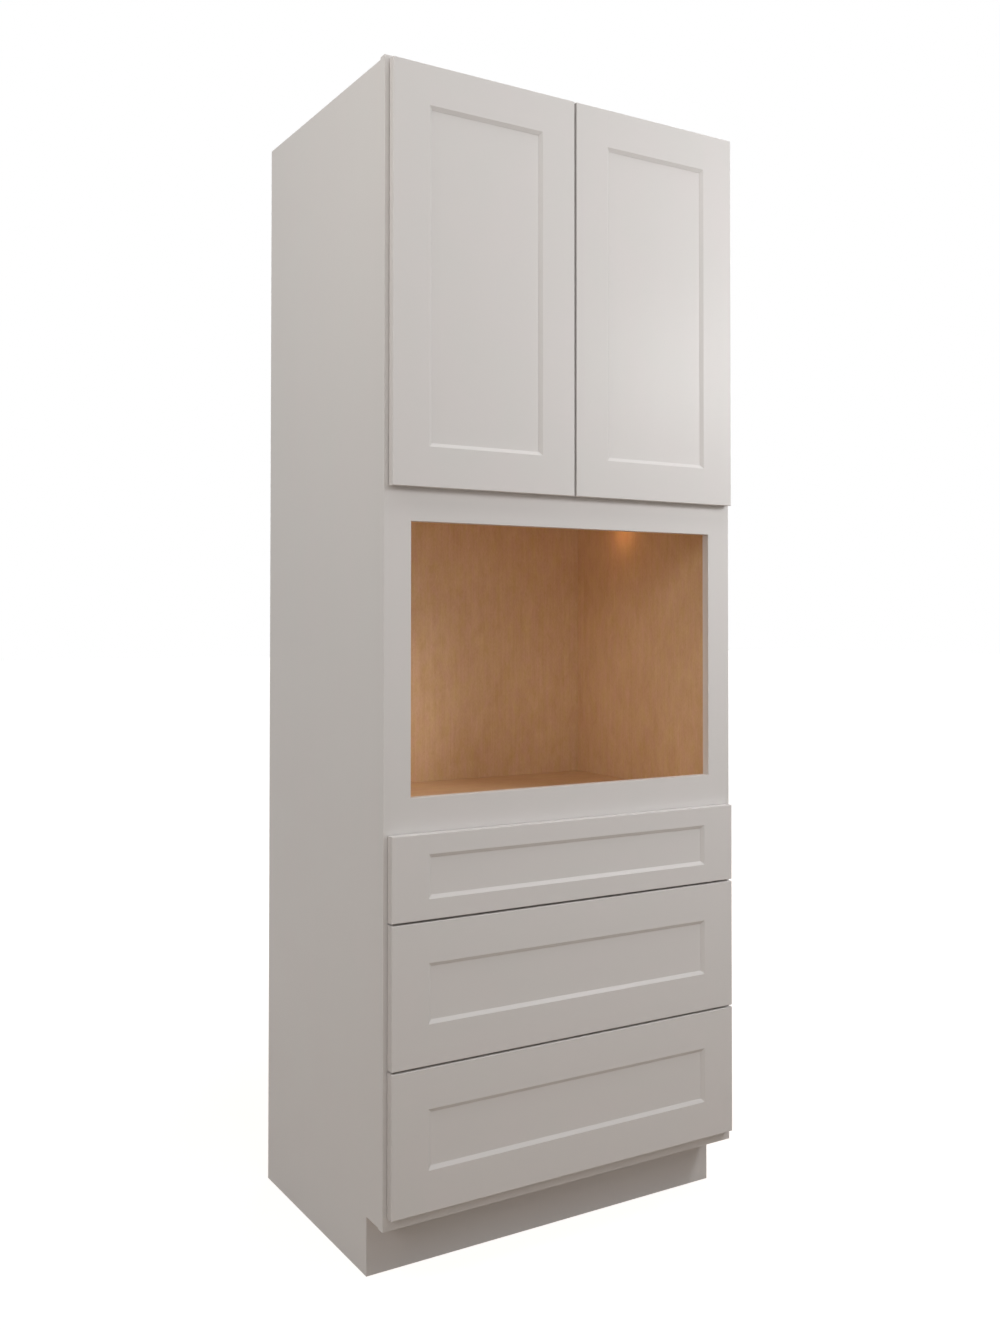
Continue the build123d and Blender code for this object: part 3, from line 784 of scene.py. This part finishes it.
# The oven lamps stand inside the opening and fill it, and glow makes the small warm patch
# high on its right wall. Only glint shows in gloss, as the highlight on the right door
lights = {
    # name: place, target, width and height, watts, colour
    "right": ((1.32, -1.57, 2.06), cabinetMiddle, (0.5, 0.5), 18.0, "#FBFDFF"),
    "frontLow": ((-0.8, -3.6, 1.0), cabinetMiddle, (1.6, 1.6), 8.0, "#FFFDFA"),
    "high": ((0.0, -3.5, 3.2), cabinetMiddle, (2.4, 2.4), 19.0, "#FFFDFA"),
    "top": ((0.0, -1.2, 4.4), cabinetMiddle, (1.6, 1.6), 32.8, "#FFFFFF"),
    "leftFront": ((-3.4, -2.6, 2.4), cabinetMiddle, (1.2, 1.2), 30.2, "#FFFFFF"),
    "leftNear": ((-1.9, -0.6, 2.7), cabinetMiddle, (0.8, 0.8), 9.3, "#FFFDF7"),
    "leftBack": ((-3.5, 0.6, 3.0), cabinetMiddle, (1.6, 1.6), 24.6, "#FFFBF6"),
    "ovenFront": ((0.0, -0.27, 1.166), (0.0, 0.2, 1.166), (0.7, 0.5), 0.33, "#FFFFFF"),
    "ovenLeft": ((-0.385, 0.0, 1.12), (0.4, 0.0, 1.12), (0.4, 0.4), 0.36, "#FFFFFF"),
    "glint": ((1.32, -1.57, 2.06), cabinetMiddle, (0.12, 0.12), 0.8, "#FFFFFF"),
    "glow": ((0.35, 0.078, 1.46), (0.4064, 0.083, 1.43), (0.03, 0.03), 0.017, "#FFBC7C"),
    "back": ((2.2, 3.6, 1.4), (0.0, 0.3, 1.15), (1.8, 1.8), 50.0, "#FFFFFF"),
    "rightBack": ((4.0, 0.6, 1.6), (0.4, 0.0, 1.15), (1.8, 1.8), 26.0, "#FFFFFF"),
}


def placeLights():
    for name, (place, target, size, watts, colour) in lights.items():
        data = bpy.data.lights.new(name, "AREA")
        data.shape = "RECTANGLE"
        data.size, data.size_y = size
        data.energy = watts
        data.color = linear(colour)[:3]
        lamp = bpy.data.objects.new(name, data)
        lamp.visible_camera = False
        lamp.visible_glossy = name == "glint"
        bpy.context.scene.collection.objects.link(lamp)
        direction = Vector(target) - Vector(place)
        lamp.matrix_world = (Matrix.Translation(place)
                             @ direction.to_track_quat("-Z", "Y").to_matrix().to_4x4())


studio = {
    "ambient": 0.0,
    "floorSize": 40.0,
    "floorColour": "#A39384",
    "floorRoughness": 0.9,
    "glowNear": 0.88,
    "glowFar": 1.0,
    "nearRadius": 0.8,
    "farRadius": 2.6,
}


# 1 for the rays that see the studio itself: straight on, mirrored or through glass
def seenRays(tree):
    path = addNode(tree, "ShaderNodeLightPath").outputs
    seen = addNode(tree, "ShaderNodeMath", {0: path["Is Camera Ray"], 1: path["Is Glossy Ray"]},
                   operation="MAXIMUM")
    return addNode(tree, "ShaderNodeMath", {0: seen.outputs[0], 1: path["Is Transmission Ray"]},
                   operation="MAXIMUM").outputs[0]


def placeWorld():
    world = bpy.data.worlds.new("studio")
    bpy.context.scene.world = world
    world.use_nodes = True
    tree = world.node_tree
    strength = addNode(tree, "ShaderNodeMapRange", {"Value": seenRays(tree),
                                                    "To Min": studio["ambient"], "To Max": 1.0})
    background = tree.nodes["Background"]
    background.inputs["Color"].default_value = (1, 1, 1, 1)
    tree.links.new(strength.outputs["Result"], background.inputs["Strength"])


# Pale paper that runs to pure white away from the cabinet and keeps its shadow near it
def placeFloor():
    mesh = bpy.data.meshes.new("floor")
    shape = bmesh.new()
    bmesh.ops.create_grid(shape, x_segments=1, y_segments=1, size=studio["floorSize"])
    shape.to_mesh(mesh)
    shape.free()
    floor = bpy.data.objects.new("floor", mesh)
    bpy.context.scene.collection.objects.link(floor)
    finish, tree, shader = newFinish("floorPaper")
    shader.inputs["Base Color"].default_value = linear(studio["floorColour"])
    shader.inputs["Roughness"].default_value = studio["floorRoughness"]
    place = addNode(tree, "ShaderNodeTexCoord").outputs["Object"]
    distance = addNode(tree, "ShaderNodeVectorMath", {0: place}, operation="LENGTH").outputs["Value"]
    paleness = addNode(tree, "ShaderNodeMapRange", {"Value": distance,
                                                    "From Min": studio["nearRadius"],
                                                    "From Max": studio["farRadius"],
                                                    "To Min": studio["glowNear"],
                                                    "To Max": studio["glowFar"]})
    strength = addNode(tree, "ShaderNodeMath", {0: seenRays(tree), 1: paleness.outputs["Result"]},
                       operation="MULTIPLY")
    glow = addNode(tree, "ShaderNodeEmission", {"Color": (1, 1, 1, 1),
                                                "Strength": strength.outputs[0]})
    both = addNode(tree, "ShaderNodeAddShader", {0: shader.outputs[0], 1: glow.outputs[0]})
    tree.links.new(both.outputs[0], tree.nodes["Material Output"].inputs["Surface"])
    mesh.materials.append(finish)


placeCamera()
placeLights()
placeWorld()
placeFloor()
bpy.context.scene.view_settings.view_transform = "Standard"
print("camera, lights and floor placed")
